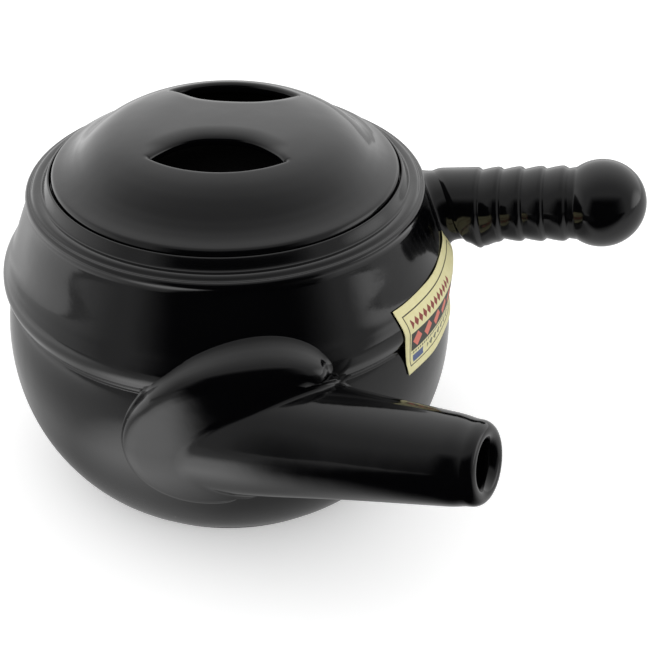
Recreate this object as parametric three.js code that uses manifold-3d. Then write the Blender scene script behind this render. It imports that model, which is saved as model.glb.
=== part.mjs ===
// An earthenware teapot with a side handle: a round glazed pot jiggered in two halves, a spout and a
// ribbed handle luted to it, a loose domed lid that is gripped through two openings, and a paper label.
// Millimetres, +Z up. The origin is the centre of the flat underside. +X points between the spout and
// the handle, and both are given by the azimuth of their root and the azimuth in which they point.
import * as THREE from 'three';
import { mergeVertices } from 'three/addons/utils/BufferGeometryUtils.js';
import Module from 'manifold-3d';

const wasm = await Module();
wasm.setup();

// Clearances and counts
const seamGap = 0.3;
const lidClearance = 1.4;
const roundSides = 48;
const tubeSides = 26;
const cutOverrun = 40;
const weldDistance = 0.001;

// Pot: the lower bowl
const wall = 5.5;
const floorThickness = 7;
const footRadius = 74;
const footHeight = 4.5;
const footLedge = 0.7;
const bellyRadius = 101;
const bellyDrop = 25;
const bowlHeight = 91;
const bellyRing = 40;
const bellyTail = 12;
const seamRounding = 1.6;
const floorFillet = 10;

// Pot: the shoulder shell, from the seam at the waist up to the mouth
const shellHeight = 50.5;
const hoopRadius = 100.4;
const lipRadius = 76.4;
const mouthRadius = 66;
const seatWidth = 9;
const seatChamfer = 1;
const roofThickness = 7.5;

// Lid
const lidRadius = 74.6;
const lidEdgeHeight = 4.8;
const domeRise = 25.4;
const domeRadius = 63.2;
const lidThickness = 5.2;
const lidRingThickness = 4.4;
const lidRingDepth = 8;
const bridgeHalfWidth = 18;
const openingHalfLength = 28.6;
const openingReach = 43.4;
const openingTurn = -4;
const wellRadius = 50;
const wellThickness = 4;
const wellDepth = 14;

// Spout, a cone whose axis passes through its root and leans away from the radius there
const spoutRootAzimuth = -76.8;
const spoutRootReach = 92;
const spoutRootDrop = 22.7;
const spoutAzimuth = -27.2;
const spoutRiseAngle = 11.9;
const spoutLength = 97.4;
const spoutRootRadius = 25.4;
const spoutTipRadius = 16.9;
const spoutLip = 5;
const boreTipRadius = 8.6;
const boreRootRadius = 20;
const wallHoleRadius = 14;
const spoutBuried = 40;

// Collar of clay that flares around the root of the spout
const collarAzimuth = -86.5;
const collarDrop = 15;
const collarHalfWidth = 46.5;
const collarHalfHeight = 41;
const collarThickness = 5.6;
const collarLean = 12;

// Strainer, a pierced dome behind the hole in the wall
const strainerAzimuth = -74.5;
const strainerDrop = 22;
const strainerRadius = 27;
const strainerThickness = 3;
const strainerBulge = 14;
const strainerHoleRadius = 2.2;
const strainerHolePitch = 7.5;

// Handle, hollow, pointing away from its root
const handleRootAzimuth = 12;
const handleRootReach = 95;
const handleRootRise = 24;
const handleAzimuth = -14;
const handleRiseAngle = 8.9;
const neckLength = 6.5;
const neckRadius = 14.8;
const gripRadius = 16.9;
const ribDepth = 1.3;
const firstRibPlace = 22.3;
const ribPitch = 9.6;
const ribCount = 5;
const ballRadius = 19.5;
const ballPlace = 75.8;
const gripBore = 9;
const ballCavity = 12.5;
const fingerBumpHeight = 4.2;
const fingerBumpLength = 5;
const handleBuried = 30;

// Label, a paper rectangle bent round the pot
const labelAzimuth = -20.5;
const labelRise = 1.5;
const labelLength = 73;
const labelWidth = 36;
const labelTiltAngle = -7;
const labelThickness = 0.4;

const degree = Math.PI / 180;

// Heights that the sizes above give, with drops and rises taken from the seam between the two halves
const bellyHeight = bowlHeight - bellyDrop;
const bellySpan = bellyHeight + bellyTail;
const spoutRootHeight = bowlHeight - spoutRootDrop;
const collarHeight = bowlHeight - collarDrop;
const strainerHeight = bowlHeight - strainerDrop;
const handleRootHeight = bowlHeight + handleRootRise;
const labelHeight = bowlHeight + labelRise;
const seatHeight = bowlHeight + shellHeight;
const lidBottom = seatHeight + seamGap;
const lidEdgeTop = lidBottom + lidEdgeHeight;

// A closed geometry as a solid, with its seams merged and its empty triangles left out.
function solidOf(geometry) {
  const bare = geometry.clone();
  bare.deleteAttribute('normal');
  bare.deleteAttribute('uv');
  const merged = mergeVertices(bare, weldDistance);
  const corners = merged.index.array;
  const kept = [];
  for (let i = 0; i < corners.length; i += 3) {
    const [a, b, c] = [corners[i], corners[i + 1], corners[i + 2]];
    if (a !== b && b !== c && c !== a) kept.push(a, b, c);
  }
  const vertProperties = new Float32Array(merged.attributes.position.array);
  return new wasm.Manifold(new wasm.Mesh({ numProp: 3, vertProperties, triVerts: new Uint32Array(kept) }));
}

// A solid as a geometry again.
function geometryOf(solid) {
  const mesh = solid.getMesh();
  const geometry = new THREE.BufferGeometry();
  geometry.setAttribute('position', new THREE.BufferAttribute(new Float32Array(mesh.vertProperties), 3));
  geometry.setIndex(Array.from(mesh.triVerts));
  geometry.computeVertexNormals();
  return geometry;
}

// A solid of revolution about Z from [radius, height] points that go up on the outside.
function turned(outline) {
  const points = outline.map(([radius, height]) => new THREE.Vector2(radius, height));
  return new THREE.LatheGeometry(points, roundSides).rotateX(Math.PI / 2);
}

// A smooth line through [radius, height] points.
function smoothLine(points, steps) {
  const curve = new THREE.SplineCurve(points.map(([radius, height]) => new THREE.Vector2(radius, height)));
  return curve.getPoints(steps).map((point) => [point.x, point.y]);
}

// A closed body from rings of points, each [x, y, z]. The first and last ring shrink to one point.
function ringBody(rings) {
  const sides = rings[1].length;
  const positions = [...rings[0][0]];
  const inner = rings.slice(1, -1);
  for (const ring of inner) for (const point of ring) positions.push(...point);
  positions.push(...rings[rings.length - 1][0]);
  const last = positions.length / 3 - 1;
  const corner = (ring, side) => 1 + ring * sides + (side % sides);
  const index = [];
  for (let side = 0; side < sides; side += 1) {
    index.push(0, corner(0, side + 1), corner(0, side));
    for (let ring = 0; ring < inner.length - 1; ring += 1) {
      const [a, b] = [corner(ring, side), corner(ring, side + 1)];
      const [c, d] = [corner(ring + 1, side), corner(ring + 1, side + 1)];
      index.push(a, b, d, a, d, c);
    }
    index.push(corner(inner.length - 1, side), corner(inner.length - 1, side + 1), last);
  }
  const geometry = new THREE.BufferGeometry();
  geometry.setAttribute('position', new THREE.Float32BufferAttribute(positions, 3));
  geometry.setIndex(index);
  return geometry;
}

// The frame of a limb: its origin on the axis, and unit vectors along, across and above the axis.
function limbFrame(rootAzimuth, rootReach, rootHeight, azimuth, rise) {
  const origin = new THREE.Vector3(
    rootReach * Math.cos(rootAzimuth * degree), rootReach * Math.sin(rootAzimuth * degree), rootHeight);
  const along = new THREE.Vector3(
    Math.cos(azimuth * degree) * Math.cos(rise * degree),
    Math.sin(azimuth * degree) * Math.cos(rise * degree),
    Math.sin(rise * degree));
  const across = new THREE.Vector3(-Math.sin(azimuth * degree), Math.cos(azimuth * degree), 0);
  const above = new THREE.Vector3().crossVectors(along, across);
  return { origin, along, across, above };
}

// A ring of points about a limb's axis at one place, with its radius a function of the angle.
function limbRing(frame, place, radiusAt, sides) {
  const ring = [];
  for (let side = 0; side < sides; side += 1) {
    const angle = 2 * Math.PI * side / sides;
    const radius = radiusAt(angle);
    const point = frame.origin.clone()
      .addScaledVector(frame.along, place)
      .addScaledVector(frame.across, radius * Math.cos(angle))
      .addScaledVector(frame.above, radius * Math.sin(angle));
    ring.push(point.toArray());
  }
  return ring;
}

// A solid round a limb's axis from [place, radius] points, closed on the axis at both ends.
function limbTurned(frame, outline, sides) {
  const first = outline[0];
  const last = outline[outline.length - 1];
  const rings = [limbRing(frame, first[0], () => 0, sides)];
  for (const [place, radius] of outline) rings.push(limbRing(frame, place, () => radius, sides));
  rings.push(limbRing(frame, last[0], () => 0, sides));
  return ringBody(rings);
}

// The outer wall of the lower bowl: an ellipse turned on a ring, so that the belly is full and round.
function bowlRadiusAt(height, inset) {
  const span = bellySpan - inset;
  const lift = Math.min(Math.abs(height - bellyHeight) / span, 1);
  return bellyRing + (bellyRadius - bellyRing - inset) * Math.sqrt(1 - lift * lift);
}

function bowlOutside() {
  const foot = [[footRadius, 0], [footRadius, footHeight]];
  const steps = 13;
  const from = footHeight + footLedge;
  const wallTop = bowlHeight - seamRounding;
  const side = [];
  for (let step = 0; step <= steps; step += 1) {
    const height = from + (wallTop - from) * step / steps;
    side.push([bowlRadiusAt(height, 0), height]);
  }
  const rim = [bowlRadiusAt(bowlHeight, 0) - seamRounding, bowlHeight];
  return [...foot, ...side, rim];
}

function bowlInside() {
  const steps = 9;
  const from = floorThickness + floorFillet;
  const side = [];
  for (let step = steps; step >= 0; step -= 1) {
    const height = from + (bowlHeight - from) * step / steps;
    side.push([bowlRadiusAt(height, wall), height]);
  }
  const lowest = side[side.length - 1][0];
  const fillet = [[lowest - floorFillet / 3, floorThickness + floorFillet / 3], [lowest - floorFillet, floorThickness]];
  return [...side, ...fillet];
}

// The shell's outlines, as shares of the way out from the lip to the hoop and up from the seam to the seat.
const shellOutsideShares = [
  [0.86, 0], [0.95, 0.06], [1, 0.15], [0.975, 0.24], [0.885, 0.32], [0.77, 0.41],
  [0.61, 0.61], [0.48, 0.77], [0.43, 0.84], [0.43, 0.87],
];
const beadShares = [[0.44, 0.9], [0.4, 0.935], [0.33, 0.935], [0.28, 0.975], [0.16, 0.97], [0.08, 1], [0.03, 1.045], [0, 1.045]];
const shellInsideShares = [[0.02, -1], [0.3, -1], [0.56, 0.54], [0.74, 0.34], [0.8, 0.14], [0.64, 0]];

function shellOutside() {
  const place = ([out, up]) => [lipRadius + (hoopRadius - lipRadius) * out, bowlHeight + seamGap + shellHeight * up];
  return [...smoothLine(shellOutsideShares.map(place), 17), ...beadShares.map(place)];
}

function shellInside() {
  const roofUnder = seatHeight - roofThickness;
  const reach = hoopRadius - lipRadius;
  return shellInsideShares.map(([out, up]) => [
    lipRadius + reach * out, up < 0 ? roofUnder : bowlHeight + seamGap + (roofUnder - bowlHeight) * up,
  ]);
}

// The whole outer outline, from the foot to the lip, and its tightest wrap: the outline that paper or
// clay laid round the pot follows, since it bridges the seam.
const potOutline = [...bowlOutside(), ...shellOutside()];

function wrapOf(outline) {
  const hull = [];
  for (const point of outline) {
    while (hull.length > 1) {
      const [a, b] = hull.slice(-2);
      const turn = (b[0] - a[0]) * (point[1] - a[1]) - (point[0] - a[0]) * (b[1] - a[1]);
      if (turn > 0) break;
      hull.pop();
    }
    hull.push(point);
  }
  return hull;
}

const potWrap = wrapOf(potOutline);

function wrapRadiusAt(height) {
  const above = Math.max(1, potWrap.slice(0, -1).filter((point) => point[1] <= height).length);
  const [low, high] = [potWrap[above - 1], potWrap[above]];
  return low[0] + (high[0] - low[0]) * (height - low[1]) / (high[1] - low[1]);
}

// The pot's outer space, grown by a distance, as a solid that trims what is luted to the wall.
function potEnvelope(growth) {
  const grown = potOutline.map(([radius, height]) => [radius + growth, height]);
  return solidOf(turned([[0, 0], ...grown, [0, grown[grown.length - 1][1]]]));
}

// The pot's cavity, drawn in by a distance.
function potCavity(inset) {
  const outline = bowlInside().reverse().map(([radius, height]) => [radius - inset, height + inset]);
  return solidOf(turned([[0, floorThickness + inset], ...outline, [0, bowlHeight + inset]]));
}

const spoutFrame = limbFrame(spoutRootAzimuth, spoutRootReach, spoutRootHeight, spoutAzimuth, spoutRiseAngle);
const handleFrame = limbFrame(handleRootAzimuth, handleRootReach, handleRootHeight, handleAzimuth, handleRiseAngle);

function lowerBowl() {
  const blank = solidOf(turned([[0, 0], ...bowlOutside(), ...bowlInside(), [0, floorThickness]]));
  const hole = [[-cutOverrun, wallHoleRadius], [cutOverrun, wallHoleRadius]];
  return geometryOf(blank.subtract(solidOf(limbTurned(spoutFrame, hole, tubeSides))));
}

function shoulderShell() {
  const seat = [[lipRadius - 1.5 * seamGap, seatHeight], [lipRadius - seatWidth, seatHeight], [mouthRadius, seatHeight - seatChamfer]];
  const outline = [...shellOutside(), ...seat, [mouthRadius, seatHeight - roofThickness], ...shellInside()];
  return turned([...outline, outline[0]]);
}

function spoutRadiusAt(place) {
  return spoutRootRadius + (spoutTipRadius - spoutRootRadius) * place / spoutLength;
}

function spoutOutline(growth) {
  const outline = [[-spoutBuried, spoutRadiusAt(-spoutBuried) + growth]];
  const lipStart = spoutLength - spoutLip;
  outline.push([lipStart, spoutRadiusAt(lipStart) + growth]);
  for (const share of [0.35, 0.7, 0.95]) {
    const drop = spoutLip * (1 - Math.sqrt(1 - share * share));
    outline.push([lipStart + spoutLip * share, spoutRadiusAt(lipStart) - drop + growth]);
  }
  outline.push([spoutLength, boreTipRadius + spoutLip / 3 + growth]);
  return outline;
}

function spoutBore() {
  return [
    [-spoutBuried - cutOverrun, boreRootRadius], [0, boreRootRadius],
    [spoutLength * 0.86, boreTipRadius], [spoutLength + cutOverrun, boreTipRadius],
  ];
}

function spout() {
  const tube = solidOf(limbTurned(spoutFrame, spoutOutline(0), tubeSides));
  const bore = solidOf(limbTurned(spoutFrame, spoutBore(), tubeSides));
  return geometryOf(tube.subtract(bore).subtract(potEnvelope(seamGap)));
}

// The collar lies on the pot's wrap as a leaning oval, thick round the spout and rounded off at its edge.
const collarShares = [[0, 1], [0.35, 1], [0.6, 0.93], [0.8, 0.8], [0.92, 0.58], [0.98, 0.3], [1, 0.04]];

function collarRing(outShare, thickness) {
  const sides = 36;
  const ring = [];
  for (let side = 0; side < sides; side += 1) {
    const angle = 2 * Math.PI * side / sides;
    const height = collarHeight + collarHalfHeight * outShare * Math.sin(angle);
    const sideways = outShare * (collarHalfWidth * Math.cos(angle) + collarLean * Math.sin(angle));
    const azimuth = collarAzimuth * degree + sideways / bellyRadius;
    const radius = wrapRadiusAt(height) + seamGap + thickness;
    ring.push([radius * Math.cos(azimuth), radius * Math.sin(azimuth), height]);
  }
  return ring;
}

function spoutCollar() {
  const over = collarShares.map(([out, thick]) => collarRing(out, collarThickness * thick));
  const under = [1, 0.8, 0.6, 0.4, 0.2, 0].map((out) => collarRing(out, 0));
  const blank = solidOf(ringBody([...over, ...under].reverse()));
  const passage = solidOf(limbTurned(spoutFrame, spoutOutline(seamGap), tubeSides));
  return geometryOf(blank.subtract(passage).subtract(potEnvelope(seamGap)));
}

function strainer() {
  const reach = bowlRadiusAt(strainerHeight, wall) + strainerRadius - strainerBulge;
  const frame = limbFrame(strainerAzimuth, reach, strainerHeight, strainerAzimuth, 0);
  const ball = (radius) => {
    const sphere = new THREE.SphereGeometry(radius, 16, 10);
    return solidOf(sphere.translate(frame.origin.x, frame.origin.y, frame.origin.z));
  };
  let dome = ball(strainerRadius).subtract(ball(strainerRadius - strainerThickness)).intersect(potCavity(seamGap));
  for (let ring = 0; ring < 3; ring += 1) {
    const count = ring === 0 ? 1 : 6 * ring;
    for (let turn = 0; turn < count; turn += 1) {
      const angle = 2 * Math.PI * turn / count;
      const offset = strainerHolePitch * ring;
      const start = frame.origin.clone()
        .addScaledVector(frame.across, offset * Math.cos(angle))
        .addScaledVector(frame.above, offset * Math.sin(angle));
      const pin = [[-strainerRadius - cutOverrun, strainerHoleRadius], [0, strainerHoleRadius]];
      dome = dome.subtract(solidOf(limbTurned({ ...frame, origin: start }, pin, 6)));
    }
  }
  return geometryOf(dome);
}

// The neck of clay between the wall and the grip, bounded by the wall on one side and the grip on the other.
function handleNeck() {
  const outline = [[-handleBuried, neckRadius], [handleBuried, neckRadius]];
  const bore = [[-handleBuried - cutOverrun, gripBore], [handleBuried + cutOverrun, gripBore]];
  const neck = solidOf(limbTurned(handleFrame, outline, tubeSides));
  const hollow = neck.subtract(solidOf(limbTurned(handleFrame, bore, tubeSides)));
  return geometryOf(hollow.intersect(potEnvelope(neckLength)).subtract(potEnvelope(seamGap)));
}

// The grip's outer radius: a plain first stretch, then ribs that swell towards the ball and step down.
function gripRadiusAt(place) {
  if (place <= firstRibPlace) return gripRadius;
  const run = (place - firstRibPlace) / ribPitch;
  const share = run - Math.floor(run);
  return gripRadius - ribDepth * (1 - share);
}

// A swelling under the grip where the first finger rests.
function fingerBumpAt(place, angle) {
  const along = (place - firstRibPlace) / fingerBumpLength;
  const below = Math.max(0, -Math.sin(angle));
  return fingerBumpHeight * Math.exp(-along * along) * below ** 3;
}

function gripPlaces() {
  const places = [-handleBuried, 0, firstRibPlace / 2, firstRibPlace * 0.8, firstRibPlace];
  const edge = 0.02 * ribPitch;
  for (let rib = 0; rib < ribCount - 1; rib += 1) {
    const start = firstRibPlace + rib * ribPitch;
    places.push(start + edge, start + ribPitch / 2, start + ribPitch - edge);
  }
  return places;
}

function handle() {
  const rings = [limbRing(handleFrame, -handleBuried, () => 0, tubeSides)];
  for (const place of gripPlaces()) {
    rings.push(limbRing(handleFrame, place, (angle) => gripRadiusAt(place) + fingerBumpAt(place, angle), tubeSides));
  }
  const ballStart = firstRibPlace + (ribCount - 1) * ribPitch + ribPitch * 0.1;
  const neckAngle = Math.acos(Math.max(-1, (ballStart - ballPlace) / ballRadius));
  const steps = 9;
  const startRadius = gripRadius - ribDepth;
  rings.push(limbRing(handleFrame, ballStart, () => startRadius, tubeSides));
  for (let step = 1; step <= steps; step += 1) {
    const angle = neckAngle * 0.86 * (1 - step / steps);
    const place = ballPlace + ballRadius * Math.cos(angle);
    const radius = step === steps ? 0 : ballRadius * Math.sin(angle);
    rings.push(limbRing(handleFrame, place, () => radius, tubeSides));
  }
  const body = solidOf(ringBody(rings));
  const cavity = [[-handleBuried - cutOverrun, gripBore], [ballPlace - ballCavity, gripBore]];
  for (const share of [0.5, 0.1, -0.4]) cavity.push([ballPlace - ballCavity * share, ballCavity * Math.sqrt(1 - share * share)]);
  cavity.push([ballPlace + ballCavity * 0.8, ballCavity * 0.6]);
  const hollow = body.subtract(solidOf(limbTurned(handleFrame, cavity, tubeSides)));
  return geometryOf(hollow.subtract(potEnvelope(neckLength + seamGap)));
}

// The dome's outside and underside, as shares of the way out to the dome's edge and of its rise.
const domeShares = [[1, 0.43], [0.94, 0.565], [0.87, 0.7], [0.78, 0.82], [0.67, 0.9], [0.5, 0.965], [0.26, 0.99]];

function domeLine(drop) {
  const place = ([out, up]) => [(domeRadius - 0.6 * drop) * out, lidBottom + domeRise * up - drop];
  return [...domeShares.map(place), [0, lidBottom + domeRise - drop]];
}

function lid() {
  const flange = [
    [lidRadius - 0.25 * lidThickness, lidBottom], [lidRadius, lidBottom + 0.2 * lidEdgeHeight],
    [lidRadius, lidEdgeTop - 0.25 * lidEdgeHeight], [lidRadius - 0.3 * lidThickness, lidEdgeTop],
  ];
  const foot = [mouthRadius - lidClearance - lidRingThickness, lidBottom];
  const under = domeLine(lidThickness).slice(1).reverse();
  const blank = solidOf(turned([foot, ...flange, ...domeLine(0), ...under, foot]));
  return geometryOf(blank.subtract(openingCutter(0)).subtract(openingCutter(180)));
}

// One finger opening: a lens between an arc about the lid's centre and an arc that waists the bridge.
function openingCutter(turn) {
  const cornerReach = Math.sqrt(openingReach ** 2 - openingHalfLength ** 2);
  const sag = cornerReach - bridgeHalfWidth;
  const waistRadius = (openingHalfLength ** 2 + sag ** 2) / (2 * sag);
  const waistCentre = bridgeHalfWidth + waistRadius;
  const outer = Math.atan2(cornerReach, openingHalfLength);
  const inner = Math.atan2(cornerReach - waistCentre, openingHalfLength);
  const shape = new THREE.Shape();
  shape.absarc(0, 0, openingReach, outer, Math.PI - outer, false);
  shape.absarc(0, waistCentre, waistRadius, Math.PI - inner, 2 * Math.PI + inner, false);
  const prism = new THREE.ExtrudeGeometry(shape, { depth: cutOverrun, bevelEnabled: false, curveSegments: 16 });
  prism.rotateZ((turn + openingTurn) * degree).translate(0, 0, lidEdgeTop);
  return solidOf(prism);
}

// The ring under the lid that keeps it in the mouth.
function lidRing() {
  const outer = mouthRadius - lidClearance;
  const inner = outer - lidRingThickness;
  const top = lidBottom - seamGap;
  const bottom = top - lidRingDepth;
  const chamfer = lidRingThickness / 4;
  return turned([
    [inner, bottom], [outer - chamfer, bottom], [outer, bottom + chamfer], [outer, top], [inner, top], [inner, bottom],
  ]);
}

// The closed bowl under the openings, which leaves room for fingers below the bridge.
const wellShares = [[0.7, 0.03], [0.88, 0.13], [0.97, 0.34], [1, 0.6]];

function lidWell() {
  const bottom = lidBottom - wellDepth;
  const reach = wellDepth + domeRise;
  const place = (thickness) => ([out, up]) => [wellRadius * out - thickness, bottom + wellDepth * up + thickness];
  const outside = [...wellShares.map(place(0)), [wellRadius, bottom + reach]];
  const inside = [...wellShares.map(place(wellThickness)), [wellRadius - wellThickness, bottom + reach]].reverse();
  const cup = solidOf(turned([[0, bottom], ...outside, ...inside, [0, bottom + wellThickness]]));
  const room = [[0, bottom - wellDepth], [domeRadius, bottom - wellDepth], ...domeLine(lidThickness + seamGap).slice(1)];
  return geometryOf(cup.intersect(solidOf(turned(room))));
}

// The label's two faces are grids that follow the pot's wrap; its four edges close them.
function paperLabel() {
  const columns = 14;
  const rows = 8;
  const point = (column, row, lift) => {
    const along = labelLength * (column / columns - 0.5);
    const up = labelWidth * (row / rows - 0.5);
    const turn = labelTiltAngle * degree;
    const height = labelHeight + along * Math.sin(turn) + up * Math.cos(turn);
    const azimuth = labelAzimuth * degree + (along * Math.cos(turn) - up * Math.sin(turn)) / bellyRadius;
    const radius = wrapRadiusAt(height) + seamGap + lift;
    return [radius * Math.cos(azimuth), radius * Math.sin(azimuth), height];
  };
  const positions = [];
  for (const lift of [0, labelThickness]) {
    for (let row = 0; row <= rows; row += 1) {
      for (let column = 0; column <= columns; column += 1) positions.push(...point(column, row, lift));
    }
  }
  const layer = (rows + 1) * (columns + 1);
  const at = (column, row, top) => top * layer + row * (columns + 1) + column;
  const index = [];
  const quad = (a, b, c, d) => index.push(a, b, c, a, c, d);
  for (let row = 0; row < rows; row += 1) {
    for (let column = 0; column < columns; column += 1) {
      quad(at(column, row, 1), at(column + 1, row, 1), at(column + 1, row + 1, 1), at(column, row + 1, 1));
      quad(at(column, row, 0), at(column, row + 1, 0), at(column + 1, row + 1, 0), at(column + 1, row, 0));
    }
  }
  for (let column = 0; column < columns; column += 1) {
    quad(at(column, 0, 0), at(column + 1, 0, 0), at(column + 1, 0, 1), at(column, 0, 1));
    quad(at(column + 1, rows, 0), at(column, rows, 0), at(column, rows, 1), at(column + 1, rows, 1));
  }
  for (let row = 0; row < rows; row += 1) {
    quad(at(0, row + 1, 0), at(0, row, 0), at(0, row, 1), at(0, row + 1, 1));
    quad(at(columns, row, 0), at(columns, row + 1, 0), at(columns, row + 1, 1), at(columns, row, 1));
  }
  const geometry = new THREE.BufferGeometry();
  geometry.setAttribute('position', new THREE.Float32BufferAttribute(positions, 3));
  geometry.setIndex(index);
  return geometry;
}

const glaze = { color: '#0b0c0c', roughness: 0.15, metalness: 0 };
const bareClay = { color: '#5b4a3f', roughness: 0.85, metalness: 0 };
const paper = { color: '#e9dfae', roughness: 0.7, metalness: 0 };

const teapot = new THREE.Group();

function place(name, geometry, finish) {
  const mesh = new THREE.Mesh(geometry, new THREE.MeshStandardMaterial(finish));
  mesh.name = name;
  teapot.add(mesh);
}

place('lower_bowl', lowerBowl(), glaze);
place('shoulder_shell', shoulderShell(), glaze);
place('spout_collar', spoutCollar(), glaze);
place('spout', spout(), glaze);
place('strainer', strainer(), bareClay);
place('handle_neck', handleNeck(), glaze);
place('handle', handle(), glaze);
place('lid', lid(), glaze);
place('lid_ring', lidRing(), glaze);
place('lid_well', lidWell(), glaze);
place('paper_label', paperLabel(), paper);

export default teapot;
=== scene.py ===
"""An earthenware teapot with a side handle, dressed over its CAD frame.

Sizes are written in millimetres times mm, places are in the frame of the CAD model, +Z up.
"""

import math

import bmesh
import bpy
import numpy as np
from mathutils import Matrix


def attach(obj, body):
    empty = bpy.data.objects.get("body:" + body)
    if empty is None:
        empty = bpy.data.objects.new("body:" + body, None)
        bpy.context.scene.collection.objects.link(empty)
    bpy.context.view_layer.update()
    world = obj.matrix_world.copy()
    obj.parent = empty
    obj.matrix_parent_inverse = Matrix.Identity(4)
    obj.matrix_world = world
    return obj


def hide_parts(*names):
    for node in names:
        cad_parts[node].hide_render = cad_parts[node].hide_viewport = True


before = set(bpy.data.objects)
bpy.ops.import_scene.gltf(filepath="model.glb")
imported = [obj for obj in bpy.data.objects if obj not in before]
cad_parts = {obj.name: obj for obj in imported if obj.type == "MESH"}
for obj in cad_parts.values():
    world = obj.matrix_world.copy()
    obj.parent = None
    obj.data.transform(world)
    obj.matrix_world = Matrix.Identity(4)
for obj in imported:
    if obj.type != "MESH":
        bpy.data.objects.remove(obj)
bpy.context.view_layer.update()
mm = 0.001
degree = math.pi / 180

# Camera: it looks down at the pot from the front and is rolled a little. Its place, its angles and its lens
# are fitted to the outlines of the photographed pot, whose level sections are circles.
camera_pitch = 34.12 * degree
camera_roll = 0.436 * degree
camera_place = (43.45 * mm, -542.13 * mm, 428.7 * mm)
sensor_width = 36
lens_share = 2.1538

forward = np.array([0, math.cos(camera_pitch), -math.sin(camera_pitch)])
upright = np.array([0, math.sin(camera_pitch), math.cos(camera_pitch)])
sideways = np.array([1, 0, 0])
camera_right = sideways * math.cos(camera_roll) + upright * math.sin(camera_roll)
camera_up = upright * math.cos(camera_roll) - sideways * math.sin(camera_roll)
camera_data = bpy.data.cameras.new("camera")
camera_data.sensor_width = sensor_width
camera_data.lens = sensor_width * lens_share
camera = bpy.data.objects.new("camera", camera_data)
bpy.context.collection.objects.link(camera)
turn = np.stack([camera_right, camera_up, -forward], axis=1)
camera.matrix_world = Matrix.Translation(camera_place) @ Matrix(turn.tolist()).to_4x4()
bpy.context.scene.camera = camera
bpy.context.scene.view_settings.view_transform = "Standard"

# Studio: a pale paper floor under soft light that is brightest behind the pot, and a dark opening on the
# camera's side. Only the glaze mirrors the opening, as it mirrors the dark room behind a camera.
white_light = (1, 1, 1, 1)
smooth = {"interpolation_type": "SMOOTHSTEP"}
plus = {"operation": "ADD"}
times = {"operation": "MULTIPLY"}
floor_size = 8000 * mm
floor_lift = 0.35


def linear(colour):
    """The linear value of an sRGB colour: each channel is undone by the sRGB curve."""
    channels = np.array([int(colour[i:i + 2], 16) for i in (1, 3, 5)]) / 255
    low = channels / 12.92
    high = ((channels + 0.055) / 1.055) ** 2.4
    return (*np.where(channels <= 0.04045, low, high), 1)


def node(tree, kind, settings=(), **links):
    """Adds one node and sets its properties. An input, by its name or as i and its number, gets a value, a
    socket or another node, which stands for its first output."""
    made = tree.nodes.new(kind)
    for key, value in dict(settings).items():
        setattr(made, key, value)
    for key, value in links.items():
        numbered = key[0] == "i" and key[1:].isdigit()
        slot = made.inputs[int(key[1:]) if numbered else key.replace("_", " ")]
        if isinstance(value, bpy.types.Node):
            value = value.outputs[0]
        if isinstance(value, bpy.types.NodeSocket):
            tree.links.new(value, slot)
        else:
            slot.default_value = value
    return made


def new_material(name):
    """An empty node material and its tree."""
    material = bpy.data.materials.new(name)
    material.use_nodes = True
    material.node_tree.nodes.clear()
    return material, material.node_tree


# Matt white paper: it shows no gloss, keeps the pot's soft shadow and is lifted a little for the camera.
floor_mesh = bpy.data.meshes.new("floor")
floor_corners = np.array([[-1, -1, 0], [1, -1, 0], [1, 1, 0], [-1, 1, 0]]) * floor_size / 2
floor_mesh.from_pydata(floor_corners, [], [(0, 1, 2, 3)])
floor = bpy.data.objects.new("floor", floor_mesh)
bpy.context.collection.objects.link(floor)
floor_material, tree = new_material("matt_white_paper_floor")
light_path = node(tree, "ShaderNodeLightPath")
floor_paint = node(tree, "ShaderNodeBsdfDiffuse", Color=linear("#fefefe"))
lift = node(tree, "ShaderNodeMath", times, i0=light_path.outputs["Is Camera Ray"], i1=floor_lift)
floor_glow = node(tree, "ShaderNodeEmission", Color=white_light, Strength=lift)
lit_floor = node(tree, "ShaderNodeAddShader", i0=floor_paint, i1=floor_glow)

# The paper as the glaze mirrors it, painted as a glow that only reflections see: even, with a painted pool of
# lamp light and painted light far out on the left, painted shade next to the pot, and a painted dark wedge in
# front of it. Each side of the wedge is a slope across the floor, the place where the dark starts and the
# place where it is full.
even_light = 0.43
pool_middle = (-75 * mm, -155 * mm, 0)
pool_edge, pool_core, pool_light = 105 * mm, 20 * mm, 1.3
left_start, left_end, left_least, left_most = -200 * mm, -450 * mm, 0.25, 0.95
front_end, front_start = -380 * mm, -150 * mm
shade_core, shade_edge, shade_light = 95 * mm, 150 * mm, 0.45
wedge_sides = [
    ((1, -0.63, 0), 35 * mm, 105 * mm),
    ((-0.4, 1, 0), -124 * mm, -194 * mm),
    ((1, 1.2, 0), 90 * mm, -90 * mm),
]
floor_place = node(tree, "ShaderNodeTexCoord").outputs["Object"]
floor_axes = node(tree, "ShaderNodeSeparateXYZ", Vector=floor_place)
from_pool = node(tree, "ShaderNodeVectorMath", {"operation": "DISTANCE"}, i0=floor_place, i1=pool_middle)
pool = node(tree, "ShaderNodeMapRange", smooth, Value=from_pool.outputs["Value"],
            From_Min=pool_edge, From_Max=pool_core, To_Max=pool_light)
painted_left_light = node(tree, "ShaderNodeMapRange", smooth, Value=floor_axes.outputs["X"],
                From_Min=left_start, From_Max=left_end, To_Min=left_least, To_Max=left_most)
beside_pot = node(tree, "ShaderNodeMapRange", smooth, Value=floor_axes.outputs["Y"],
                  From_Min=front_end, From_Max=front_start)
# Painted shade next to the pot, seen only in reflections.
from_pot = node(tree, "ShaderNodeVectorMath", {"operation": "LENGTH"}, i0=floor_place)
painted_pot_shade = node(tree, "ShaderNodeMapRange", smooth, Value=from_pot.outputs["Value"],
                 From_Min=shade_core, From_Max=shade_edge, To_Min=shade_light)
paper_light = node(tree, "ShaderNodeMath", times, i0=painted_left_light, i1=beside_pot)
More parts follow.
